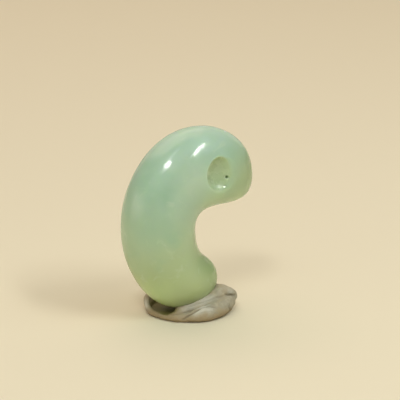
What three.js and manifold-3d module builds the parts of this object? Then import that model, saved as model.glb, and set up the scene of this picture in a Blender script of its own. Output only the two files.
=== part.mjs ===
import * as THREE from "three";
import { mergeVertices } from "three/addons/utils/BufferGeometryUtils.js";
import Module from "manifold-3d";

// A comma-shaped jade bead, a magatama, that stands upright in a pad of grey putty.
// Millimetres, +Z up. The bead lies in the XZ plane: its hooked side opens towards +X
// and its drilled face looks along -Y. The origin is on the putty's flat underside.

// Bead: a smooth closed curve led by these points is its outline. The first point leads the
// head's tip, the next seven lead the back, then comes the tail's tip, and the rest lead the crook.
const OUTLINE = [
  { x: 12.8, z: 26.2 },
  { x: 10.2, z: 30.9 },
  { x: 3.5, z: 34.3 },
  { x: -5.3, z: 32.8 },
  { x: -12.0, z: 24.9 },
  { x: -13.8, z: 15.5 },
  { x: -11.1, z: 6.6 },
  { x: -4.5, z: 0.0 },
  { x: 5.1, z: 1.3 },
  { x: 5.7, z: 8.3 },
  { x: 1.5, z: 10.6 },
  { x: 0.5, z: 13.7 },
  { x: 0.2, z: 17.7 },
  { x: 3.1, z: 19.2 },
  { x: 9.6, z: 18.9 },
  { x: 12.6, z: 20.7 },
];
const TAIL_TIP = OUTLINE.length / 2;
// Thickness as a share of the width: least at the head's tip, full at this share of the length.
const TIP_FLATNESS = 0.55;
const BODY_FLATNESS = 0.84;
const FULL_BODY_AT = 0.55;
const BEAD_ROWS = 48;
const BEAD_SIDES = 32;

// Threading hole: a round dish, sunk into the face a little aslant so that it is deepest at its
// right side, and from there a narrow bore straight out of the back.
const DISH_MOUTH = { x: 3.55, y: -5.9, z: 26.0 };
const DISH_SLANT = THREE.MathUtils.degToRad(14);
const DISH_RADIUS = 2.95;
const DISH_STRETCH = 1.03;
const DISH_DEPTH = 1.7;
const DISH_SQUARENESS = 2.4;
const DISH_ROWS = 8;
const DISH_SIDES = 36;
const BORE = { x: 5.0, z: 25.0 };
const BORE_RADIUS = 0.22;
const BORE_START = -5;
const BORE_SIDES = 12;
const HOLE_REACH = 9;

// Putty pad: an oval blob, a low rim with a hollow on one side and a mound on the other.
const PAD_LENGTH = 16.4;
const PAD_DEPTH = 13.8;
const PAD_TURN = THREE.MathUtils.degToRad(-30);
const PAD_Y = -0.4;
const MOUND_SIDE = THREE.MathUtils.degToRad(15);
// From the underside's middle round the edge to the top's middle: the reach as a share of the
// outline, and the heights at the low rim and at the mound.
const PAD_PROFILE = [
  { reach: 0, rim: 0, mound: 0 },
  { reach: 0.94, rim: 0, mound: 0 },
  { reach: 0.985, rim: 0.3, mound: 0.6 },
  { reach: 1.0, rim: 0.8, mound: 1.7 },
  { reach: 0.985, rim: 1.4, mound: 2.7 },
  { reach: 0.95, rim: 1.85, mound: 3.5 },
  { reach: 0.89, rim: 2.1, mound: 4.2 },
  { reach: 0.82, rim: 2.05, mound: 4.7 },
  { reach: 0.74, rim: 1.6, mound: 4.9 },
  { reach: 0.62, rim: 1.15, mound: 4.9 },
  { reach: 0.45, rim: 0.95, mound: 4.6 },
  { reach: 0, rim: 0.9, mound: 0.9 },
];
const PAD_LOBES = 0.02;
const PAD_SIDES = 48;
const SEAT_GAP = 0.3;

const JADE = { color: 0xa3b98c, roughness: 0.22, metalness: 0 };
const PUTTY = { color: 0x98947f, roughness: 0.85, metalness: 0 };

const wasm = await Module();
wasm.setup();

// The outline at t, a uniform cubic B-spline that counts one for each leading point.
function outlineAt(t) {
  const count = OUTLINE.length;
  const span = Math.floor(t);
  const u = t - span;
  const weights = [(1 - u) ** 3, 3 * u ** 3 - 6 * u ** 2 + 4, -3 * u ** 3 + 3 * u ** 2 + 3 * u + 1, u ** 3];
  const point = new THREE.Vector3();
  weights.forEach((weight, i) => {
    const lead = OUTLINE[(span + i - 1 + count) % count];
    point.x += (lead.x * weight) / 6;
    point.z += (lead.z * weight) / 6;
  });
  return point;
}

// One oval section of the bead, at a share of the way from the head's tip to the tail's.
// It spans from the crook's side to the back.
function sectionAt(share) {
  const back = outlineAt(share * TAIL_TIP);
  const crook = outlineAt(OUTLINE.length - share * TAIL_TIP);
  const centre = back.clone().add(crook).multiplyScalar(0.5);
  const halfChord = back.clone().sub(centre);
  const fullness = THREE.MathUtils.smoothstep(share, 0, FULL_BODY_AT);
  const flatness = THREE.MathUtils.lerp(TIP_FLATNESS, BODY_FLATNESS, fullness);
  return { centre, halfChord, halfThickness: halfChord.length() * flatness };
}

// The comma body: a sphere's rows become the sections, its poles the tips of head and tail.
function beadGeometry() {
  const geometry = new THREE.SphereGeometry(1, BEAD_SIDES, BEAD_ROWS);
  const points = geometry.attributes.position;
  const columns = BEAD_SIDES + 1;
  for (let i = 0; i < points.count; i++) {
    const share = Math.floor(i / columns) / BEAD_ROWS;
    const angle = ((i % columns) / BEAD_SIDES) * 2 * Math.PI;
    const section = sectionAt(share);
    const point = section.centre.addScaledVector(section.halfChord, Math.cos(angle));
    points.setXYZ(i, point.x, -section.halfThickness * Math.sin(angle), point.z);
  }
  return geometry;
}

// The dish's void: a bowl with a steep wall and a flat floor, open far beyond the drilled face.
function dishGeometry() {
  const profile = [new THREE.Vector2(0, -HOLE_REACH), new THREE.Vector2(DISH_RADIUS, -HOLE_REACH)];
  for (let row = 0; row <= DISH_ROWS; row++) {
    const down = Math.sin((row / DISH_ROWS) * (Math.PI / 2));
    const across = Math.pow(1 - Math.pow(down, DISH_SQUARENESS), 1 / DISH_SQUARENESS);
    profile.push(new THREE.Vector2(DISH_RADIUS * across, DISH_DEPTH * down));
  }
  return new THREE.LatheGeometry(profile, DISH_SIDES)
    .scale(1, 1, DISH_STRETCH)
    .rotateZ(-DISH_SLANT)
    .translate(DISH_MOUTH.x, DISH_MOUTH.y, DISH_MOUTH.z);
}

// The bore's void, from inside the dish to beyond the back.
function boreGeometry() {
  return new THREE.CylinderGeometry(BORE_RADIUS, BORE_RADIUS, HOLE_REACH - BORE_START, BORE_SIDES)
    .translate(BORE.x, (HOLE_REACH + BORE_START) / 2, BORE.z);
}

// The putty blob: a round turning whose reach and height change with the direction.
function padGeometry() {
  const rows = PAD_PROFILE.map(({ reach }, row) => new THREE.Vector2(reach, row));
  const geometry = new THREE.LatheGeometry(rows, PAD_SIDES).rotateX(Math.PI / 2);
  const points = geometry.attributes.position;
  for (let i = 0; i < points.count; i++) {
    const { rim, mound } = PAD_PROFILE[i % PAD_PROFILE.length];
    const direction = Math.atan2(points.getY(i), points.getX(i));
    const moundShare = (1 + Math.cos(direction - MOUND_SIDE)) / 2;
    const lobes = 1 + PAD_LOBES * Math.cos(3 * direction);
    const x = points.getX(i) * lobes * (PAD_LENGTH / 2);
    const y = points.getY(i) * lobes * (PAD_DEPTH / 2);
    points.setXYZ(i, x, y, THREE.MathUtils.lerp(rim, mound, moundShare));
  }
  return geometry.rotateZ(PAD_TURN).translate(0, PAD_Y, 0);
}

// Only positions, with shared vertices merged.
function merged(geometry) {
  const bare = geometry.clone();
  bare.deleteAttribute("normal");
  bare.deleteAttribute("uv");
  return mergeVertices(bare, 1e-4);
}

// The same form, larger by a margin on every side.
function grown(geometry, margin) {
  const larger = merged(geometry);
  larger.computeVertexNormals();
  const points = larger.attributes.position;
  const normals = larger.attributes.normal;
  for (let i = 0; i < points.count; i++) {
    const push = new THREE.Vector3().fromBufferAttribute(normals, i).multiplyScalar(margin);
    points.setXYZ(i, points.getX(i) + push.x, points.getY(i) + push.y, points.getZ(i) + push.z);
  }
  return larger;
}

// A geometry as a solid for cutting, and a cut solid as a geometry again.
function toSolid(geometry) {
  const shell = merged(geometry);
  const vertProperties = new Float32Array(shell.attributes.position.array);
  const triVerts = new Uint32Array(shell.index.array);
  return new wasm.Manifold(new wasm.Mesh({ numProp: 3, vertProperties, triVerts }));
}

function toGeometry(solid) {
  const { vertProperties, triVerts } = solid.getMesh();
  const geometry = new THREE.BufferGeometry();
  geometry.setAttribute("position", new THREE.BufferAttribute(vertProperties, 3));
  geometry.setIndex(new THREE.BufferAttribute(triVerts, 1));
  geometry.computeVertexNormals();
  return geometry;
}

function namedMesh(name, solid, finish) {
  const mesh = new THREE.Mesh(toGeometry(solid), new THREE.MeshStandardMaterial(finish));
  mesh.name = name;
  return mesh;
}

const bead = toSolid(beadGeometry())
  .subtract(toSolid(dishGeometry()))
  .subtract(toSolid(boreGeometry()));
const pad = toSolid(padGeometry()).subtract(toSolid(grown(beadGeometry(), SEAT_GAP)));

const part = new THREE.Group();
part.add(namedMesh("magatama", bead, JADE));
part.add(namedMesh("putty_rest", pad, PUTTY));

export default part;
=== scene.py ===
import math

import bmesh
import bpy
from mathutils import Matrix, Quaternion, Vector, noise
from mathutils.bvhtree import BVHTree
from mathutils.kdtree import KDTree


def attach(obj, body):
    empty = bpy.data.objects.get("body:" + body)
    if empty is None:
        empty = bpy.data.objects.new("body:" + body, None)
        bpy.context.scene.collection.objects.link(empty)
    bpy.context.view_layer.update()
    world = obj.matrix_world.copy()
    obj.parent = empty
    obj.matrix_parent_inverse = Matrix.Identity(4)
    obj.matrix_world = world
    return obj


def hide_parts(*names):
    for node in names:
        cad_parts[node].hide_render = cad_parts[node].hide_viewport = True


# A jade magatama, a comma-shaped bead, that stands upright in a pad of grey putty.
# The bead lies in the XZ plane: its hooked side opens towards +X and its drilled face
# looks along -Y. Lengths are in millimetres and multiplied by MM where they are used, apart
# from those of the lamps and the floor, which are in metres.

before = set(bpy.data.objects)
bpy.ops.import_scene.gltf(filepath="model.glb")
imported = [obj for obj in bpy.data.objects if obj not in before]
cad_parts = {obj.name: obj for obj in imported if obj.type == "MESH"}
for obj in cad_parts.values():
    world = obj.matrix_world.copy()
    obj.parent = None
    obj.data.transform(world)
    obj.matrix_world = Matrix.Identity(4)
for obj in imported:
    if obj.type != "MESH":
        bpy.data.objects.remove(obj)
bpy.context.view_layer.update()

MM = 0.001

# Camera: it looks a little down at the drilled face, from the side of the bead's back. It aims
# to the right of and above the bead's middle by the shift, so that the bead stands a little left
# of and below the middle of the picture. The picture's width is measured at the bead.
BEAD_MIDDLE = (-0.84, 0.0, 17.81)
CAMERA_AZIMUTH = math.radians(-30)
CAMERA_ELEVATION = math.radians(16)
CAMERA_DISTANCE = 300
CAMERA_NEAREST = 10
PICTURE_WIDTH = 70.55
PICTURE_SHIFT = 2.65

# Bead: a smooth closed curve led by these points (x, z) is its outline. The first leads the
# head's tip, the next seven lead the back, then comes the tail's tip, and the rest lead the crook.
OUTLINE = [
    (12.8, 26.2),
    (10.2, 30.9),
    (3.5, 34.3),
    (-5.3, 32.8),
    (-12.0, 24.9),
    (-13.8, 15.5),
    (-11.1, 6.6),
    (-4.5, 0.0),
    (5.1, 1.3),
    (5.7, 8.3),
    (1.5, 10.6),
    (0.5, 13.7),
    (0.2, 17.7),
    (3.1, 19.2),
    (9.6, 18.9),
    (12.6, 20.7),
]
TAIL_TIP = len(OUTLINE) // 2
# Thickness as a share of the width: least at the head's tip, full at this share of the length.
TIP_FLATNESS = 0.55
BODY_FLATNESS = 0.84
FULL_BODY_AT = 0.55
# The rolled-up form's rows and sides, the gap that its seam and tips close over, and the size of
# the even squares that the drilled bead gets instead.
FORM_ROWS = 360
FORM_SIDES = 224
CLOSING_GAP = 0.0005
BEAD_VOXEL = 0.168
# The squares near the hole are drawn onto the exact surface in this many steps down its slope,
# which is measured over this reach.
SLOPE_STEPS = 3
SLOPE_REACH = 0.02

# Threading hole: a round dish, sunk into the face a little aslant so that it is deepest at its
# right side, and from there a narrow bore straight out of the back. The draft widens the dish
# towards its mouth, and the squareness gives it a steep wall and a flat floor.
DISH_MOUTH = (3.55, -5.9, 26.0)
DISH_SLANT = math.radians(14)
DISH_RADIUS = 2.95
DISH_STRETCH = 1.03
DISH_DEPTH = 1.7
DISH_DRAFT = 0.05
DISH_SQUARENESS = 2.4
BORE_AT = (5.0, 25.0)
BORE_RADIUS = 0.22
BORE_START_Y = -5.0
# The voids of dish and bore reach this far out of the stone, and are made in these steps and sides.
DRILL_REACH = 9
DRILL_STEPS = 40
DRILL_SIDES = 96
# How far the dish's rim is rounded, on its left and on its worn right, and the bore's edge in
# the dish.
RIM_ROUND = 0.2
RIM_WORN = 0.75
PIT_ROUND = 0.3
# The wear's direction in the dish's own plane, and the cosines of the angle from it where the
# wear begins and is full.
WORN_SIDE = math.radians(-20)
WORN_FROM = -0.35
WORN_FULL = 0.6
# Depths where the drilled finish begins and is full, each at the crisp rim and at the worn one.
FINISH_FROM = (0, 0.15)
FINISH_FULL = (0.12, 0.7)
# A small nick low in the dish: its middle, its facing, its radius, the share of that radius that
# lies wholly on its floor, and the radius to which the floor is domed.
NICK_AT = (4.28, -4.85, 23.41)
NICK_FACING = (-0.103, -0.82, 0.564)
NICK_RADIUS = 0.42
NICK_WHOLE = 0.7
NICK_ROUND = 9.0

# Hand polish leaves the surface very slightly uneven: the height and span of its swells.
POLISH_SWELL = 0.03
POLISH_SPAN = 5.0

# Putty pad: its long way lies across the camera's view, as in the frame's solid.
PAD_TURN = math.radians(-30)
PAD_Y = -0.4
PUTTY_VOXEL = 0.11
# The pad's seat laps the bead by this much, so that no light shows between them.
SEAT_LAP = 0.04
# The pad's thin floor: its middle (along, behind), half length, half depth and top.
PAD_FLOOR = (-0.8, 0.0, 6.8, 4.9, 0.6)
PAD_FLOOR_SIDES = 64
# The hollow between the bead and the low rim, where a dark olive shade is painted, tinted as by
# light through the jade: its middle (along, behind), half length, half depth and top, and the share
# of its reach over which the painted shade fades out.
HOLLOW = (-3.3, 0.0, 4.7, 4.9, 2.2)
HOLLOW_FADE = 0.22
# Each roll of putty is a row of places (along, behind, height, radius) in the pad's own
# directions, pressed together where they meet.
PUTTY_ROLLS = {
    "core": [
        (-1.6, -1.6, -0.4, 1.8),
        (1.2, -1.6, 0.2, 2.3),
        (4.2, -0.8, 0.9, 2.7),
        (5.6, 1.2, 1.0, 2.3),
        (3.2, 3.0, 0.5, 2.2),
        (-1.0, 3.6, 0.2, 1.9),
        (-4.0, 3.4, -0.4, 1.6),
    ],
    "rim": [
        (-2.6, -5.8, 0.35, 0.6),
        (-4.2, -5.3, 0.4, 0.55),
        (-5.6, -4.1, 0.35, 0.55),
        (-6.9, -2.4, 0.6, 0.55),
        (-7.7, -0.4, 1.15, 0.55),
        (-7.85, 1.4, 1.55, 0.58),
        (-7.4, 3.2, 1.8, 0.6),
        (-6.1, 4.6, 1.6, 0.75),
        (-4.6, 5.1, 1.2, 0.9),
    ],
    "rim_foot": [
        (-3.0, -5.6, 0.1, 0.6),
        (-5.4, -4.2, 0.0, 0.6),
        (-6.95, -2.6, 0.3, 0.55),
        (-7.55, -0.4, 0.6, 0.55),
        (-7.5, 1.4, 0.8, 0.7),
        (-6.9, 3.3, 0.7, 0.95),
        (-5.6, 4.4, 0.6, 1.0),
    ],
    "low_front": [
        (-4.6, -5.0, 0.2, 0.55),
        (-3.4, -5.5, 0.35, 0.75),
        (-1.8, -5.8, 0.4, 1.0),
        (0.0, -5.7, 0.5, 1.2),
        (1.6, -5.2, 0.6, 1.3),
    ],
    "upper": [
        (-5.0, -4.8, 0.1, 0.3),
        (-3.8, -4.4, 0.2, 0.6),
        (-2.5, -4.0, 0.4, 0.95),
        (-1.2, -3.2, 0.95, 1.35),
        (0.4, -2.7, 1.35, 1.5),
        (2.3, -2.2, 1.75, 1.55),
        (3.8, -1.6, 2.15, 1.55),
        (4.9, -0.8, 3.0, 1.45),
        (5.5, 0.3, 3.3, 1.4),
        (6.0, 0.9, 3.1, 1.3),
    ],
    "front": [
        (-1.0, -6.0, 0.35, 0.7),
        (0.4, -5.8, 0.7, 1.2),
        (2.0, -5.4, 0.9, 1.5),
        (3.6, -4.3, 1.05, 1.6),
        (5.0, -2.9, 1.3, 1.6),
        (6.0, -1.5, 1.6, 1.5),
        (6.75, 0.2, 1.7, 1.35),
        (6.8, 1.8, 1.6, 1.3),
    ],
    "top": [
        (4.3, 1.2, 3.3, 1.3),
        (5.6, 1.0, 3.25, 1.3),
        (6.6, 0.95, 2.95, 1.25),
        (7.3, 1.0, 2.55, 1.15),
        (7.0, 2.5, 1.9, 1.35),
    ],
    "back": [
        (6.4, 2.6, 1.7, 1.4),
        (5.2, 4.2, 1.5, 1.4),
        (2.8, 5.1, 1.3, 1.3),
        (0.0, 5.3, 1.1, 1.3),
        (-2.8, 5.1, 0.8, 1.2),
        (-4.6, 4.6, 0.6, 1.15),
        (-6.0, 3.9, 0.6, 1.0),
    ],
}
# Each roll is swept in rows and sides, and its ends are the blunter the higher the power. The
# joined rolls are then evened out by this share in each of a few turns.
ROLL_ROWS = 72
ROLL_SIDES = 24
ROLL_BLUNTNESS = 6
EVENING_TURNS = 2
EVENING_SHARE = 0.5
# Creases pressed into the pad: a depth, a width and places (along, behind, height) near the skin.
PUTTY_CREASES = {
    "main_fold": (0.36, 0.28, [
        (-1.6, -6.8, 0.6), (-1.0, -6.8, 0.9), (-0.5, -6.6, 1.3), (0.1, -6.4, 1.6), (0.9, -6.2, 2.0),
        (1.7, -5.7, 2.3), (2.4, -5.3, 2.5), (3.5, -5.1, 2.5), (4.4, -5.0, 2.2),
    ]),
    "front_print": (0.10, 0.18, [
        (1.0, -6.7, 1.5), (1.9, -6.6, 1.9), (2.9, -6.2, 1.9), (4.0, -5.8, 1.7),
    ]),
    "left_fold": (0.15, 0.22, [
        (-2.9, -5.7, 1.2), (-2.2, -5.9, 1.3), (-1.1, -6.0, 1.5),
    ]),
    "slit": (0.28, 0.22, [
        (6.0, -1.4, 3.5), (6.5, -0.8, 3.2), (7.0, -0.3, 3.0), (7.5, 0.3, 2.8), (7.9, 1.2, 2.6),
    ]),
    "right_fold": (0.20, 0.28, [
        (6.9, -2.5, 2.3), (6.9, -2.8, 1.9), (6.9, -3.0, 1.5), (7.1, -1.6, 0.5),
    ]),
    "upper_seam": (0.12, 0.25, [
        (-0.9, -4.2, 1.8), (0.8, -3.8, 2.3), (2.6, -3.3, 2.8), (4.2, -2.7, 3.2), (5.6, -2.0, 3.2),
    ]),
    "rim_seam": (0.10, 0.22, [
        (-6.8, -3.5, 0.6), (-5.7, -4.7, 0.5), (-4.4, -5.6, 0.4), (-3.2, -6.1, 0.3),
    ]),
}
# Where light is painted on the putty, paler: painted highlights on the front crests and the top edge,
# and painted light on the rim's edge and on the ridge in the bead's shade. Each has a strength, a
# width and places (along, behind, height).
PUTTY_PAINTED_LIGHTS = {
    "front_bulge": (0.75, 0.55, [
        (0.5, -6.7, 1.4), (1.0, -6.5, 1.8), (1.7, -6.3, 2.1), (2.4, -5.9, 2.3), (3.1, -5.8, 2.2),
        (4.0, -5.4, 2.1),
    ]),
    "behind_fold": (0.8, 0.4, [
        (0.7, -5.6, 2.0), (1.4, -5.3, 2.2), (2.1, -5.2, 2.4), (2.8, -4.7, 2.5), (3.5, -4.3, 2.6),
    ]),
    "upper_ridge": (0.6, 0.6, [
        (-1.8, -4.4, 1.7), (0.0, -3.9, 2.2), (1.7, -3.5, 2.6), (3.1, -2.9, 3.1), (4.2, -2.2, 3.7),
    ]),
    "rim_edge": (0.85, 0.6, [
        (-7.9, 0.9, 2.0), (-7.9, -0.6, 1.6), (-7.7, -1.8, 1.1),
    ]),
    "top_edge": (0.25, 0.9, [
        (5.7, -0.3, 4.5), (6.8, 0.2, 3.8), (7.5, 0.1, 3.3),
    ]),
}
# Creases and painted lights are marked on the skin at this step. A crease's groove and the swells
# beside it reach this many widths. Its dark line of painted shade fades this many times as fast as
# the groove, and is as dark as it gets from this depth on.
MARK_STEP = 0.1
CREASE_REACH = 3
CREASE_NARROWING = 2
CREASE_DARKEST = 0.45
# Small wrinkles all over the skin: their depth and span, and of the noise that makes them, how
# fast its finer layers fade, how much finer each one is, and how many there are.
WRINKLE_DEPTH = 0.085
WRINKLE_SPAN = 1.6
WRINKLE_NOISE = (0.6, 2.0, 3)
# Skin that is lower than this is pressed flat on the ground.
PRESSED_FLAT = 0.03
# The pad's bottom edge curves in under it: the height where this begins, how far in it goes, and
# the least share of its facing that the skin has to turn outwards.
TUCK_HEIGHT = 0.65
TUCK_DEPTH = 0.8
TUCK_FACING = 0.2
# The putty is smeared a little way up the stone: how far out this begins and how high it goes.
SMEAR_WIDTH = 0.7
SMEAR_HEIGHT = 0.22

# Colours, linear.
JADE_COOL = (0.41, 0.585, 0.46, 1.0)
JADE_WARM = (0.455, 0.55, 0.28, 1.0)
JADE_CLOUD = (0.32, 0.52, 0.37, 1.0)
JADE_PALE = (0.62, 0.73, 0.56, 1.0)
# A deeper green of the stone, used as painted shade.
JADE_DEEP_AND_SHADE = (0.26, 0.36, 0.16, 1.0)
# The colour of painted light on the stone.
JADE_LIT = (0.56, 0.74, 0.38, 1.0)
# A darker green, painted as shade on the head's right side.
JADE_GREEN = (0.385, 0.495, 0.265, 1.0)
DRILLED_WALL = (0.44, 0.57, 0.35, 1.0)
PUTTY_GREY = (0.38, 0.32, 0.20, 1.0)
PUTTY_BLUE = (0.35, 0.325, 0.235, 1.0)
PUTTY_DUSTY = (0.47, 0.43, 0.31, 1.0)
# Paler putty, for painted highlights and painted light.
PUTTY_PAINTED_LIGHT = (0.62, 0.61, 0.52, 1.0)
# Dark olive putty, painted as shade in the hollow under the bead.
PUTTY_HOLLOW_SHADE = (0.175, 0.155, 0.04, 1.0)
# Browner, darker putty, painted at the foot as a warm bounce and shade.
PUTTY_FOOT = (0.30, 0.21, 0.10, 1.0)
# Dark putty, painted as shade in the creases.
PUTTY_CREASE_SHADE = (0.17, 0.15, 0.09, 1.0)
FLOOR_PALE = (0.76, 0.715, 0.54, 1.0)

# Patches on the stone's colour: (x, z) of the middle, radius, strength and colour. The head's right
# side and the right edges of head, tail corner and crook are painted shade on a deeper green of the
# stone, and the underside is painted shade. The chin, jaw, tail foot and tail back are painted light.
# The cloud is a darker patch of the stone itself, and the brow is paler.
TONE_AND_PAINTED_LIGHT_PLACES = {
    "head_side": (9.5, 24.0, 8.5, 0.85, JADE_GREEN),
    "head_edge": (14.0, 25.0, 7.0, 1.0, JADE_DEEP_AND_SHADE),
    "tail_corner": (7.0, 7.0, 9.0, 1.0, JADE_DEEP_AND_SHADE),
    "crook_edge": (2.8, 12.0, 7.5, 0.85, JADE_DEEP_AND_SHADE),
    "brow": (-2.0, 26.0, 5.5, 0.35, JADE_PALE),
    "chin": (2.5, 20.5, 5.0, 0.4, JADE_LIT),
    "underside": (-2.0, -0.5, 4.0, 0.4, JADE_DEEP_AND_SHADE),
    "cloud": (-9.5, 18.0, 5.5, 0.4, JADE_CLOUD),
    "tail_foot": (3.5, 1.5, 4.5, 0.7, JADE_LIT),
    "jaw": (8.0, 19.5, 4.5, 0.45, JADE_LIT),
    "tail_back": (-8.5, 5.0, 5.0, 0.4, JADE_LIT),
}

# The stone is warm below the first height and cool above the second, and a slow drift of noise
# brings that change down by up to this much. The change is partly the stone's own tone and partly
# painted light: a painted warm bounce from below and a painted cool sheen from above.
COOL_FROM = 6
COOL_FULL = 34
COOL_DRIFT = 10
DRIFT_SCALE = 90.0
DRIFT_DETAIL = 2.0

# Soft patches, each with its own values for their node group. Scales are per metre.
JADE_CLOUDS = {"Scale": 120.0, "Detail": 3.0, "Roughness": 0.5, "Twist": 0.4, "From": 0.48, "Full": 0.72,
               "Least": 0.0, "Most": 0.5}
JADE_WISPS = {"Scale": 260.0, "Detail": 5.0, "Roughness": 0.6, "Twist": 1.5, "From": 0.56, "Full": 0.74,
              "Least": 0.0, "Most": 0.33}
JADE_POLISH = {"Scale": 700.0, "Detail": 4.0, "Roughness": 0.5, "Twist": 0.0, "From": 0.3, "Full": 0.7,
               "Least": 0.11, "Most": 0.19}
PUTTY_PATCHES = {"Scale": 220.0, "Detail": 4.0, "Roughness": 0.6, "Twist": 0.5, "From": 0.42, "Full": 0.62,
                 "Least": 0.0, "Most": 1.0}
PUTTY_DUST = {"Scale": 900.0, "Detail": 5.0, "Roughness": 0.7, "Twist": 0.0, "From": 0.45, "Full": 0.7,
              "Least": 0.0, "Most": 0.7}

# Fine grain, with its values for its node group, and how deep it is.
DISH_GRIT = {"Scale": 2400.0, "Detail": 3.0, "Roughness": 0.6}
DISH_GRIT_DEPTH = 0.018
PUTTY_GRAIN = {"Scale": 2600.0, "Detail": 4.0, "Roughness": 0.6}
PUTTY_GRAIN_DEPTH = 0.05
PUTTY_GRAIN_STRENGTH = 0.5

# The stone's finish: how strongly it bends light, the share of light that it scatters within
# itself, how far red, green and blue go in it and their common depth, how much rougher the dish
# is than the polish, and how much smoother the nick is than the dish.
JADE_IOR = 1.6
JADE_SCATTERED = 0.75
JADE_SCATTER_COLOURS = (0.9, 1.0, 0.6)
JADE_SCATTER_DEPTH = 2.2
DISH_ROUGHER = 0.12
NICK_SMOOTHER = 0.09

# The putty's finish, and its foot, painted browner and darker as a warm bounce and shade near the
# ground: below the first height the foot's colour has its full strength, and above the second it is
# gone.
PUTTY_ROUGHNESS = 0.6
FOOT_FULL = 0.2
FOOT_GONE = 2.0
FOOT_STRENGTH = 0.8

# The floor's finish, and how far it goes from its middle to each side, in metres.
FLOOR_ROUGHNESS = 0.8
FLOOR_REACH = 2.5

# Lamps, flat and soft: the direction from the bead (to the picture's right, towards the camera,
# up), the distance, width and height in metres, the radiance, the colour and the turn.
LAMPS = {
    "left_lamp": ((-0.14, 0.65, 0.72), 0.6, 0.14, 0.07, 24.0, (1.0, 0.98, 0.94), math.radians(-35)),
    "right_lamp": ((0.60, 0.37, 0.74), 0.6, 0.25, 0.05, 24.0, (1.0, 0.98, 0.94), math.radians(35)),
    "window_strip": ((-0.08, 0.42, 0.90), 0.6, 0.03, 0.30, 4.0, (0.9, 0.97, 1.0), math.radians(-20)),
    "overhead": ((-0.20, -0.40, 1.0), 0.8, 0.9, 0.7, 1.22, (1.0, 0.74, 0.65), 0.0),
    "sky_window": ((0.65, 0.25, 0.90), 0.6, 0.45, 0.40, 0.92, (0.72, 0.92, 1.0), 0.0),
    "front_fill": ((-0.3, 1.0, 0.8), 1.2, 1.2, 0.9, 0.465, (0.84, 0.97, 1.0), 0.0),
    "left_fill": ((-1.0, 0.55, 0.12), 0.7, 0.6, 0.35, 1.05, (1.0, 0.93, 0.80), 0.0),
    "back_glow": ((0.0, -1.0, 0.62), 0.8, 1.4, 0.8, 0.45, (1.0, 0.86, 0.66), 0.0),
}
# The soft light from all around.
ROOM_COLOUR = (0.95, 0.85, 0.68, 1.0)
ROOM_STRENGTH = 0.25


# Small helpers.

def mm(x, y, z):
    """A point given in millimetres."""
    return Vector((x, y, z)) * MM


def mix(low, high, share):
    """The value at a share of the way from low to high."""
    return low + (high - low) * share


def smoothstep(value, low, high):
    """A smooth rise from 0 at low to 1 at high."""
    share = min(1.0, max(0.0, (value - low) / (high - low)))
    return share * share * (3 - 2 * share)


def smooth_max(a, b, width):
    """The larger of two values, with the corner between them rounded."""
    overlap = max(width - abs(a - b), 0.0) / width
    return max(a, b) + overlap * overlap * width / 4


def object_of(name, form):
    """An object in the scene that takes over the form."""
    mesh = bpy.data.meshes.new(name)
    form.to_mesh(mesh)
    form.free()
    piece = bpy.data.objects.new(name, mesh)
    bpy.context.collection.objects.link(piece)
    return piece


def discard(piece):
    """Removes an object that was only there for the work, and its mesh."""
    mesh = piece.data
    bpy.data.objects.remove(piece)
    bpy.data.meshes.remove(mesh)


def through_modifiers(form, add_modifiers):
    """The form after modifiers have worked on it, as a new bmesh."""
    piece = object_of("in_work", form)
    add_modifiers(piece)
    result = bmesh.new()
    result.from_object(piece, bpy.context.evaluated_depsgraph_get())
    discard(piece)
    return result


def remeshed(form, voxel):
    """The form's outer skin again, in even squares of the given size."""

    def add_modifiers(piece):
        remesh = piece.modifiers.new("even_skin", "REMESH")
        remesh.mode = "VOXEL"
        remesh.voxel_size = voxel * MM

    return through_modifiers(form, add_modifiers)


def closed(form):
    """The form with its seams and poles closed and its faces pointing out."""
    bmesh.ops.remove_doubles(form, verts=form.verts, dist=CLOSING_GAP * MM)
    form.normal_update()
    bmesh.ops.recalc_face_normals(form, faces=form.faces)
    return form


def rolled_up(rows, sides, spot):
    """A sheet rolled up into rings, which spot(share, angle) places from one tip to the other."""
    form = bmesh.new()
    bmesh.ops.create_grid(form, x_segments=rows, y_segments=sides, size=0.5)
    for vert in form.verts:
        vert.co = spot(vert.co.x + 0.5, (vert.co.y + 0.5) * 2 * math.pi)
    return closed(form)


def cut(form, tool):
    """The form less the tool."""
    cutter = object_of("tool", tool)

    def add_modifiers(piece):
        boolean = piece.modifiers.new("cut", "BOOLEAN")
        boolean.operation = "DIFFERENCE"
        boolean.solver = "MANIFOLD"
        boolean.object = cutter

    result = through_modifiers(form, add_modifiers)
    discard(cutter)
    return result


def make_piece(name, form, material, node):
    """A finished piece that rides on the part and stands for a node of the frame."""
    for face in form.faces:
        face.smooth = True
    piece = object_of(name, form)
    piece.data.materials.append(material)
    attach(piece, "root")
    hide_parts(node)


# The bead's shape.

def outline_at(t):
    """The outline at t, a uniform cubic B-spline that counts one for each leading point."""
    span = math.floor(t)
    u = t - span
    weights = ((1 - u) ** 3, 3 * u ** 3 - 6 * u ** 2 + 4, -3 * u ** 3 + 3 * u ** 2 + 3 * u + 1, u ** 3)
    point = Vector((0, 0, 0))
    for step, weight in enumerate(weights):
        x, z = OUTLINE[(span + step - 1) % len(OUTLINE)]
        point += mm(x, 0, z) * (weight / 6)
    return point


def section_at(share):
    """The oval section at a share of the way from the head's tip to the tail's."""
    back = outline_at(share * TAIL_TIP)
    crook = outline_at(len(OUTLINE) - share * TAIL_TIP)
    centre = (back + crook) / 2
    half_chord = back - centre
    flatness = mix(TIP_FLATNESS, BODY_FLATNESS, smoothstep(share, 0, FULL_BODY_AT))
    return centre, half_chord, half_chord.length * flatness


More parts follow.
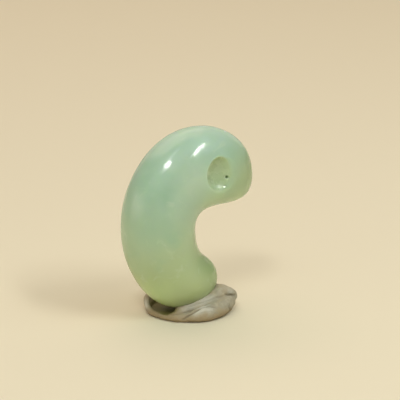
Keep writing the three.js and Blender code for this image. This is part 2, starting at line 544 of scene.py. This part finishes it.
def bead_form():
    """The comma body, its sections rolled up from the head's tip to the tail's."""
    sections = [section_at(row / FORM_ROWS) for row in range(FORM_ROWS + 1)]

    def spot(share, angle):
        centre, half_chord, half_thickness = sections[round(share * FORM_ROWS)]
        return centre + half_chord * math.cos(angle) + Vector((0, half_thickness * math.sin(angle), 0))

    return rolled_up(FORM_ROWS, FORM_SIDES, spot)


def dish_frame():
    """The dish's own directions in the part's: its Y runs into the stone, from the mouth."""
    return Matrix.Translation(mm(*DISH_MOUTH)) @ Matrix.Rotation(-DISH_SLANT, 4, "Z")


def dish_radius(y):
    """The radius of the dish's drafted wall at a depth, in millimetres."""
    return DISH_RADIUS * (1 + DISH_DRAFT * (1 - y / DISH_DEPTH))


def dish_form():
    """The dish's void and the space before it, turned from its profile."""
    form = bmesh.new()
    places = [(0, -DRILL_REACH), (dish_radius(-DRILL_REACH), -DRILL_REACH)]
    for step in range(DRILL_STEPS + 1):
        y = DISH_DEPTH * math.sin(step / DRILL_STEPS * math.pi / 2)
        share = (1 - (y / DISH_DEPTH) ** DISH_SQUARENESS) ** (1 / DISH_SQUARENESS)
        places.append((dish_radius(y) * share, y))
    verts = [form.verts.new(mm(radius, y, 0)) for radius, y in places]
    edges = [form.edges.new(pair) for pair in zip(verts, verts[1:])]
    bmesh.ops.spin(form, geom=verts + edges, cent=(0, 0, 0), axis=(0, 1, 0), angle=2 * math.pi,
                   steps=DRILL_SIDES, use_merge=True)
    bmesh.ops.scale(form, verts=form.verts, vec=(1, 1, DISH_STRETCH))
    bmesh.ops.transform(form, verts=form.verts, matrix=dish_frame())
    return closed(form)


def bore_form():
    """The bore's void, from inside the dish to beyond the back."""
    form = bmesh.new()
    x, z = BORE_AT
    bmesh.ops.create_cone(form, cap_ends=True, segments=DRILL_SIDES // 2, radius1=BORE_RADIUS * MM,
                          radius2=BORE_RADIUS * MM, depth=(DRILL_REACH - BORE_START_Y) * MM)
    place = Matrix.Translation(mm(x, (DRILL_REACH + BORE_START_Y) / 2, z))
    bmesh.ops.transform(form, verts=form.verts, matrix=place @ Matrix.Rotation(math.pi / 2, 4, "X"))
    return form


def drilled_depth(into_dish, point):
    """About how far a point is inside the dish or the bore, in metres; negative in the stone."""
    place = into_dish @ point / MM
    across = math.hypot(place.x, place.z / DISH_STRETCH) / dish_radius(place.y)
    down = max(place.y / DISH_DEPTH, 0)
    reach = (across ** DISH_SQUARENESS + down ** DISH_SQUARENESS) ** (1 / DISH_SQUARENESS)
    dish = (1 - reach) * DISH_DEPTH
    if point.y < BORE_START_Y * MM:
        return dish * MM
    x, z = BORE_AT
    bore = BORE_RADIUS - math.hypot(point.x / MM - x, point.z / MM - z)
    return smooth_max(dish, bore, PIT_ROUND) * MM


def worn_share(into_dish, point):
    """How worn the dish's rim is on a point's side, from 0 to 1; nought at the bore's far end."""
    if point.y > 0:
        return 0
    place = into_dish @ point
    towards = place.x * math.cos(WORN_SIDE) + place.z * math.sin(WORN_SIDE)
    return smoothstep(towards / max(math.hypot(place.x, place.z), MM), WORN_FROM, WORN_FULL)


def body_distance(tree, point):
    """How far a point is outside the bead's undrilled body, in metres."""
    spot, normal, _, distance = tree.find_nearest(point)
    return distance if (point - spot).dot(normal) > 0 else -distance


def onto_surface(field, point):
    """The nearby place where the field is nought, found in a few steps down its slope."""
    reach = SLOPE_REACH * MM
    steps = [Vector((reach, 0, 0)), Vector((0, reach, 0)), Vector((0, 0, reach))]
    for _ in range(SLOPE_STEPS):
        slope = Vector([field(point + step) - field(point - step) for step in steps]) / (2 * reach)
        point = point - slope * (field(point) / slope.length_squared)
    return point


def nicked(point):
    """The point, drawn onto the nick's slightly domed floor, and how far it lies within the nick."""
    offset = point - mm(*NICK_AT)
    facing = Vector(NICK_FACING).normalized()
    share = 1 - smoothstep(offset.length / MM, NICK_RADIUS * NICK_WHOLE, NICK_RADIUS)
    sag = offset.length_squared / (2 * NICK_ROUND * MM)
    return point - facing * (offset.dot(facing) + sag) * share, share


def polished_height(point):
    """The uneven swell that hand polish leaves, in metres."""
    return noise.noise(point / (POLISH_SPAN * MM)) * POLISH_SWELL * MM


def make_bead(body, material):
    """The drilled bead: even squares all over, drawn onto the exact surface, its rims rounded."""
    tree = BVHTree.FromBMesh(body)
    into_dish = dish_frame().inverted()

    def field(point):
        width = mix(RIM_ROUND, RIM_WORN, worn_share(into_dish, point)) * MM
        return smooth_max(body_distance(tree, point), drilled_depth(into_dish, point), width)

    form = remeshed(cut(cut(body.copy(), dish_form()), bore_form()), BEAD_VOXEL)
    drilled = form.verts.layers.float.new("drilled")
    nick = form.verts.layers.float.new("nick")
    for vert in form.verts:
        if drilled_depth(into_dish, vert.co) > -RIM_WORN * MM:
            vert.co, vert[nick] = nicked(onto_surface(field, vert.co))
            worn = worn_share(into_dish, vert.co)
            depth = -body_distance(tree, vert.co) / MM
            vert[drilled] = smoothstep(depth, mix(*FINISH_FROM, worn), mix(*FINISH_FULL, worn))
        else:
            vert.co = tree.find_nearest(vert.co)[0]
    form.normal_update()
    for vert in form.verts:
        vert.co = vert.co + vert.normal * polished_height(vert.co) * (1 - vert[drilled])
    make_piece("jade_bead", form, material, "magatama")


# The putty's shape.

def pad_place(along, behind, height):
    """A place given in the pad's own directions, in the part's frame."""
    turned = Matrix.Rotation(PAD_TURN, 4, "Z") @ mm(along, behind, height)
    return turned + mm(0, PAD_Y, 0)


def curve_at(places, share):
    """The values at a share of the way along a smooth curve through the places, and its span."""
    last = len(places) - 1
    t = share * last
    span = min(int(t), last - 1)
    u = t - span
    before, start, end, after = [places[min(max(span + step, 0), last)] for step in (-1, 0, 1, 2)]
    values = [
        b + u * ((c - a) / 2 + u * (a - 2.5 * b + 2 * c - d / 2 + u * (1.5 * (b - c) + (d - a) / 2)))
        for a, b, c, d in zip(before, start, end, after)
    ]
    return values, (start, end)


def roll_form(places):
    """A roll of putty along its places, with blunt round ends."""

    def spot(share, angle):
        (along, behind, height, radius), (start, end) = curve_at(places, share)
        heading = (pad_place(*end[:3]) - pad_place(*start[:3])).normalized()
        side = heading.cross(Vector((0, 0, 1))).normalized()
        ring = side * math.cos(angle) + side.cross(heading) * math.sin(angle)
        blunt = (1 - abs(2 * share - 1) ** ROLL_BLUNTNESS) ** (1 / ROLL_BLUNTNESS)
        return pad_place(along, behind, height) + ring * radius * blunt * MM

    return rolled_up(ROLL_ROWS, ROLL_SIDES, spot)


def floor_form():
    """The pad's thin floor, an oval slab."""
    along, behind, half_length, half_depth, top = PAD_FLOOR
    form = bmesh.new()
    bmesh.ops.create_cone(form, cap_ends=True, segments=PAD_FLOOR_SIDES, radius1=MM, radius2=MM,
                          depth=2 * top * MM)
    bmesh.ops.scale(form, verts=form.verts, vec=(half_length, half_depth, 1))
    place = Matrix.Translation(pad_place(along, behind, 0)) @ Matrix.Rotation(PAD_TURN, 4, "Z")
    bmesh.ops.transform(form, verts=form.verts, matrix=place)
    return form


def joined(forms):
    """One bmesh that holds all the forms."""
    whole = bmesh.new()
    for form in forms:
        mesh = bpy.data.meshes.new("in_work")
        form.to_mesh(mesh)
        form.free()
        whole.from_mesh(mesh)
        bpy.data.meshes.remove(mesh)
    return whole


def even_out(form):
    """The skin's sharp joins between the rolls made a little softer."""
    for _ in range(EVENING_TURNS):
        bmesh.ops.smooth_vert(form, verts=form.verts, factor=EVENING_SHARE, use_axis_x=True,
                              use_axis_y=True, use_axis_z=True)


def cut_flat(form):
    """The form above the ground, closed by a flat underside."""
    geometry = form.verts[:] + form.edges[:] + form.faces[:]
    bmesh.ops.bisect_plane(form, geom=geometry, plane_co=(0, 0, 0), plane_no=(0, 0, 1), clear_inner=True)
    bmesh.ops.holes_fill(form, edges=[edge for edge in form.edges if edge.is_boundary])
    bmesh.ops.triangulate(form, faces=form.faces)


def tuck_under(form):
    """The bottom edge drawn in under the pad in a quarter round."""
    form.normal_update()
    for vert in form.verts:
        low = min(1, 1 - vert.co.z / (TUCK_HEIGHT * MM))
        out = Vector((vert.normal.x, vert.normal.y, 0))
        if low > 0 and out.length > TUCK_FACING:
            vert.co = vert.co - out.normalized() * (1 - math.sqrt(1 - low * low)) * TUCK_DEPTH * MM


def strip_finder(tree, strips):
    """Marks on the skin along strips (amount, width, places), and a search tree over them."""
    marks = []
    for amount, width, places in strips.values():
        length = sum(math.dist(start, end) for start, end in zip(places, places[1:]))
        count = round(length / MARK_STEP)
        for step in range(count + 1):
            (along, behind, height), _ = curve_at(places, step / count)
            fade = math.sqrt(math.sin(math.pi * (step + 0.5) / (count + 1)))
            marks.append((tree.find_nearest(pad_place(along, behind, height))[0], amount * fade, width))
    finder = KDTree(len(marks))
    for index, mark in enumerate(marks):
        finder.insert(mark[0], index)
    finder.balance()
    return marks, finder


def press_creases(form):
    """Grooves along the creases, each with a low swell on both sides, and a mask of painted shade in them,
    as dark as their depths.
    """
    marks, finder = strip_finder(BVHTree.FromBMesh(form), PUTTY_CREASES)
    crease = form.verts.layers.float.new("crease")
    for vert in form.verts:
        _, index, distance = finder.find(vert.co)
        _, depth, width = marks[index]
        away = (distance / (width * MM)) ** 2
        if away < CREASE_REACH ** 2:
            vert.co = vert.co - vert.normal * (1 - away) * math.exp(-away) * depth * MM
            vert[crease] = math.exp(-CREASE_NARROWING * away) * min(1, depth / CREASE_DARKEST)


def mark_painted_light(form):
    """A mask of the places where light is painted on the putty: painted highlights and painted light."""
    marks, finder = strip_finder(BVHTree.FromBMesh(form), PUTTY_PAINTED_LIGHTS)
    painted_light = form.verts.layers.float.new("painted_light")
    for vert in form.verts:
        _, index, distance = finder.find(vert.co)
        _, strength, width = marks[index]
        vert[painted_light] = strength * math.exp(-((distance / (width * MM)) ** 2))


def smear_up(form, body):
    """The putty's skin raised towards the bead where it meets it."""
    tree = BVHTree.FromBMesh(body)
    form.normal_update()
    for vert in form.verts:
        away = body_distance(tree, vert.co) / (SMEAR_WIDTH * MM)
        if 0 < away < 1:
            vert.co = vert.co + vert.normal * (1 - away) ** 2 * SMEAR_HEIGHT * MM


def crumple(form):
    """Small wrinkles all over the skin, which is pressed flat where it is lowest."""
    form.normal_update()
    for vert in form.verts:
        wrinkle = noise.fractal(vert.co / (WRINKLE_SPAN * MM), *WRINKLE_NOISE)
        vert.co = vert.co + vert.normal * wrinkle * WRINKLE_DEPTH * MM
        if vert.co.z < PRESSED_FLAT * MM:
            vert.co.z = 0


def mark_hollow_shade(form):
    """A mask of the painted shade in the hollow, which fades out at its edge and upwards."""
    hollow = form.verts.layers.float.new("hollow")
    into_pad = Matrix.Rotation(-PAD_TURN, 4, "Z") @ Matrix.Translation(mm(0, -PAD_Y, 0))
    along, behind, half_length, half_depth, top = HOLLOW
    for vert in form.verts:
        place = into_pad @ vert.co / MM
        inside = 1 - math.hypot((place.x - along) / half_length, (place.y - behind) / half_depth)
        vert[hollow] = smoothstep(inside, 0, HOLLOW_FADE) * (1 - smoothstep(place.z, top / 2, top))


def make_putty(body, material):
    """The pad: rolls pressed together, fitted round the bead, cut flat below and creased."""
    rolls = [roll_form(places) for places in PUTTY_ROLLS.values()]
    form = remeshed(joined(rolls + [floor_form()]), PUTTY_VOXEL)
    even_out(form)
    seat = body.copy()
    for vert in seat.verts:
        vert.co = vert.co - vert.normal * SEAT_LAP * MM
    form = cut(form, seat)
    cut_flat(form)
    tuck_under(form)
    form = remeshed(form, PUTTY_VOXEL)
    form.normal_update()
    press_creases(form)
    mark_painted_light(form)
    crumple(form)
    smear_up(form, body)
    mark_hollow_shade(form)
    make_piece("grey_putty", form, material, "putty_rest")


# Materials.

def feed(tree, node, inputs):
    """Gives a node's inputs plain values, or links them to other nodes' outputs."""
    for name, value in inputs.items():
        if isinstance(value, bpy.types.NodeSocket):
            tree.links.new(value, node.inputs[name])
        else:
            node.inputs[name].default_value = value


def add_node(tree, kind, inputs, **settings):
    """A node with its settings made and its inputs fed."""
    node = tree.nodes.new(kind)
    for name, setting in settings.items():
        setattr(node, name, setting)
    feed(tree, node, inputs)
    return node


def add_noise(tree, place, scale, detail, rough=0.5, twist=0.0):
    """Noise at a place."""
    inputs = {"Vector": place, "Scale": scale, "Detail": detail, "Roughness": rough, "Distortion": twist}
    return add_node(tree, "ShaderNodeTexNoise", inputs).outputs["Fac"]


def add_range(tree, value, low, high, at_low=0.0, at_high=1.0):
    """A smooth change from what holds at low to what holds at high."""
    inputs = {"Value": value, "From Min": low, "From Max": high, "To Min": at_low, "To Max": at_high}
    return add_node(tree, "ShaderNodeMapRange", inputs, interpolation_type="SMOOTHSTEP").outputs["Result"]


def add_mix(tree, share, low, high):
    """The low colour at a share of nought, the high one at 1."""
    inputs = {"Factor": share, "A": low, "B": high}
    return add_node(tree, "ShaderNodeMix", inputs, data_type="RGBA").outputs["Result"]


def add_math(tree, operation, *values):
    """The result of a sum."""
    return add_node(tree, "ShaderNodeMath", dict(enumerate(values)), operation=operation).outputs[0]


def add_mark(tree, name):
    """A mask that the piece's mesh carries."""
    return add_node(tree, "ShaderNodeAttribute", {}, attribute_name=name).outputs["Fac"]


def add_place(tree):
    """Where a point of the surface is, and its height."""
    place = tree.nodes.new("ShaderNodeTexCoord").outputs["Object"]
    return place, add_node(tree, "ShaderNodeSeparateXYZ", {"Vector": place}).outputs["Z"]


def new_group(name, inputs, output):
    """A node group that takes a place and some numbers, and what it is given inside."""
    tree = bpy.data.node_groups.new(name, "ShaderNodeTree")
    tree.interface.new_socket("Place", in_out="INPUT", socket_type="NodeSocketVector")
    for number in inputs:
        tree.interface.new_socket(number, in_out="INPUT", socket_type="NodeSocketFloat")
    tree.interface.new_socket(output, in_out="OUTPUT", socket_type="NodeSocketFloat")
    return tree, tree.nodes.new("NodeGroupInput").outputs


def soft_patches_group():
    """Patches of noise with soft edges, as a share between a least and a most."""
    inputs = ("Scale", "Detail", "Roughness", "Twist", "From", "Full", "Least", "Most")
    tree, given = new_group("soft_patches", inputs, "Share")
    cloudy = add_noise(tree, *[given[name] for name in ("Place", "Scale", "Detail", "Roughness", "Twist")])
    share = add_range(tree, cloudy, *[given[name] for name in ("From", "Full", "Least", "Most")])
    add_node(tree, "NodeGroupOutput", {"Share": share})
    return tree


def fine_grain_group():
    """Fine grain as the height for a bump, as strong as its share."""
    tree, given = new_group("fine_grain", ("Scale", "Detail", "Roughness", "Share"), "Height")
    grain = add_noise(tree, *[given[name] for name in ("Place", "Scale", "Detail", "Roughness")])
    add_node(tree, "NodeGroupOutput", {"Height": add_math(tree, "MULTIPLY", given["Share"], grain)})
    return tree


def add_patches(tree, group, place, values):
    """Soft patches with their own values."""
    return add_node(tree, "ShaderNodeGroup", {"Place": place, **values}, node_tree=group).outputs["Share"]


def add_grain(tree, group, place, values, share, depth, strength=1.0):
    """A surface roughened by fine grain, where the share says."""
    inputs = {"Place": place, "Share": share, **values}
    height = add_node(tree, "ShaderNodeGroup", inputs, node_tree=group).outputs["Height"]
    inputs = {"Height": height, "Distance": depth * MM, "Strength": strength}
    return add_node(tree, "ShaderNodeBump", inputs).outputs["Normal"]


def new_material(name):
    """A material, its node tree and its shader."""
    material = bpy.data.materials.new(name)
    material.use_nodes = True
    return material, material.node_tree, material.node_tree.nodes["Principled BSDF"]


def stone_colour(tree, place, height, patches):
    """Cool above and warm below, partly painted sheen and bounce, with clouds and wisps, and with patches
    of painted shade and painted light.
    """
    # Warm below and cool above: partly the stone's tone, partly a painted warm bounce and a painted cool
    # sheen.
    drift = add_noise(tree, place, DRIFT_SCALE, DRIFT_DETAIL)
    drifted = add_math(tree, "MULTIPLY_ADD", drift, COOL_DRIFT * MM, height)
    colour = add_mix(tree, add_range(tree, drifted, COOL_FROM * MM, COOL_FULL * MM), JADE_WARM, JADE_COOL)
    for values, tint in ((JADE_CLOUDS, JADE_CLOUD), (JADE_WISPS, JADE_PALE)):
        colour = add_mix(tree, add_patches(tree, patches, place, values), colour, tint)
    flat = add_node(tree, "ShaderNodeVectorMath", {0: place, 1: (1, 0, 1)}, operation="MULTIPLY")
    # Patches of painted shade and painted light, and the stone's own cloud.
    for x, z, radius, strength, tint in TONE_AND_PAINTED_LIGHT_PLACES.values():
        middle = {0: flat.outputs["Vector"], 1: mm(x, 0, z)}
        away = add_node(tree, "ShaderNodeVectorMath", middle, operation="DISTANCE").outputs["Value"]
        colour = add_mix(tree, add_range(tree, away, 0, radius * MM, strength, 0.0), colour, tint)
    return colour


def jade_material(patches, grain):
    """Polished translucent stone, with a duller, gritty dish and a bright nick in it."""
    material, tree, shader = new_material("polished_jade")
    place, height = add_place(tree)
    drilled = add_mark(tree, "drilled")
    colour = add_mix(tree, drilled, stone_colour(tree, place, height, patches), DRILLED_WALL)
    polish = add_patches(tree, patches, place, JADE_POLISH)
    dull = add_math(tree, "MULTIPLY_ADD", drilled, DISH_ROUGHER, polish)
    rough = add_math(tree, "MULTIPLY_ADD", add_mark(tree, "nick"), -NICK_SMOOTHER, dull)
    feed(tree, shader, {
        "Base Color": colour,
        "Roughness": rough,
        "Normal": add_grain(tree, grain, place, DISH_GRIT, drilled, DISH_GRIT_DEPTH),
        "IOR": JADE_IOR,
        "Subsurface Weight": JADE_SCATTERED,
        "Subsurface Radius": JADE_SCATTER_COLOURS,
        "Subsurface Scale": JADE_SCATTER_DEPTH * MM,
    })
    return material


def putty_material(patches, grain):
    """Dull grey modelling putty with a dry, dusty skin, with painted light on crests and rim, and painted
    shade in its creases, its hollow and at its foot.
    """
    material, tree, shader = new_material("grey_putty")
    place, height = add_place(tree)
    colour = add_mix(tree, add_patches(tree, patches, place, PUTTY_PATCHES), PUTTY_GREY, PUTTY_BLUE)
    colour = add_mix(tree, add_patches(tree, patches, place, PUTTY_DUST), colour, PUTTY_DUSTY)
    # The foot's colour is a painted warm bounce and shade, darker towards the bottom.
    foot = add_range(tree, height, FOOT_FULL * MM, FOOT_GONE * MM, FOOT_STRENGTH, 0.0)
    colour = add_mix(tree, foot, colour, PUTTY_FOOT)
    # Painted light on crests and rim, painted shade in the hollow and in the creases.
    for name, tint in (("painted_light", PUTTY_PAINTED_LIGHT), ("hollow", PUTTY_HOLLOW_SHADE), ("crease", PUTTY_CREASE_SHADE)):
        colour = add_mix(tree, add_mark(tree, name), colour, tint)
    feed(tree, shader, {
        "Base Color": colour,
        "Roughness": PUTTY_ROUGHNESS,
        "Normal": add_grain(tree, grain, place, PUTTY_GRAIN, 1.0, PUTTY_GRAIN_DEPTH, PUTTY_GRAIN_STRENGTH),
    })
    return material


def floor_material():
    """Plain and pale."""
    material, tree, shader = new_material("pale_floor")
    feed(tree, shader, {"Base Color": FLOOR_PALE, "Roughness": FLOOR_ROUGHNESS})
    return material


# The studio.

def camera_axes():
    """Directions from the bead: to the picture's right, its up, and back to the camera."""
    back = Vector((math.sin(CAMERA_AZIMUTH) * math.cos(CAMERA_ELEVATION),
                   -math.cos(CAMERA_AZIMUTH) * math.cos(CAMERA_ELEVATION),
                   math.sin(CAMERA_ELEVATION)))
    right = Vector((math.cos(CAMERA_AZIMUTH), math.sin(CAMERA_AZIMUTH), 0))
    return right, back.cross(right), back


def add_camera():
    """The camera, aimed off the bead's middle."""
    right, up, back = camera_axes()
    middle = mm(*BEAD_MIDDLE)
    data = bpy.data.cameras.new("camera")
    data.angle = 2 * math.atan(PICTURE_WIDTH / 2 / CAMERA_DISTANCE)
    data.clip_start = CAMERA_NEAREST * MM
    camera = bpy.data.objects.new("camera", data)
    camera.location = middle + back * CAMERA_DISTANCE * MM
    aim = middle + (right + up) * PICTURE_SHIFT * MM
    camera.rotation_euler = (aim - camera.location).to_track_quat("-Z", "Y").to_euler()
    bpy.context.collection.objects.link(camera)
    bpy.context.scene.camera = camera


def add_lamp(name, direction, distance, width, height, radiance, colour, turn):
    """A flat soft lamp that faces the bead from a direction (right, towards the camera, up)."""
    right = camera_axes()[0]
    towards = Vector((math.sin(CAMERA_AZIMUTH), -math.cos(CAMERA_AZIMUTH), 0))
    side, near, above = direction
    way = (right * side + towards * near + Vector((0, 0, above))).normalized()
    data = bpy.data.lights.new(name, "AREA")
    data.shape = "RECTANGLE"
    data.size = width
    data.size_y = height
    data.color = colour
    data.energy = radiance * width * height * math.pi
    lamp = bpy.data.objects.new(name, data)
    middle = mm(*BEAD_MIDDLE)
    lamp.location = middle + way * distance
    facing = (middle - lamp.location).to_track_quat("-Z", "Y")
    lamp.rotation_euler = (facing @ Quaternion((0, 0, 1), turn)).to_euler()
    bpy.context.collection.objects.link(lamp)


def add_floor():
    """A wide plain floor."""
    form = bmesh.new()
    bmesh.ops.create_grid(form, x_segments=1, y_segments=1, size=FLOOR_REACH)
    floor = object_of("floor", form)
    floor.data.materials.append(floor_material())


def add_studio():
    """The camera, the floor, the lamps and the light from all around."""
    add_camera()
    add_floor()
    for name, lamp in LAMPS.items():
        add_lamp(name, *lamp)
    world = bpy.data.worlds.new("room")
    world.use_nodes = True
    tree = world.node_tree
    feed(tree, tree.nodes["Background"], {"Color": ROOM_COLOUR, "Strength": ROOM_STRENGTH})
    bpy.context.scene.world = world
    bpy.context.scene.view_settings.view_transform = "Standard"


add_studio()
soft_patches = soft_patches_group()
fine_grain = fine_grain_group()
bead_body = bead_form()
make_bead(bead_body, jade_material(soft_patches, fine_grain))
make_putty(bead_body, putty_material(soft_patches, fine_grain))
bead_body.free()
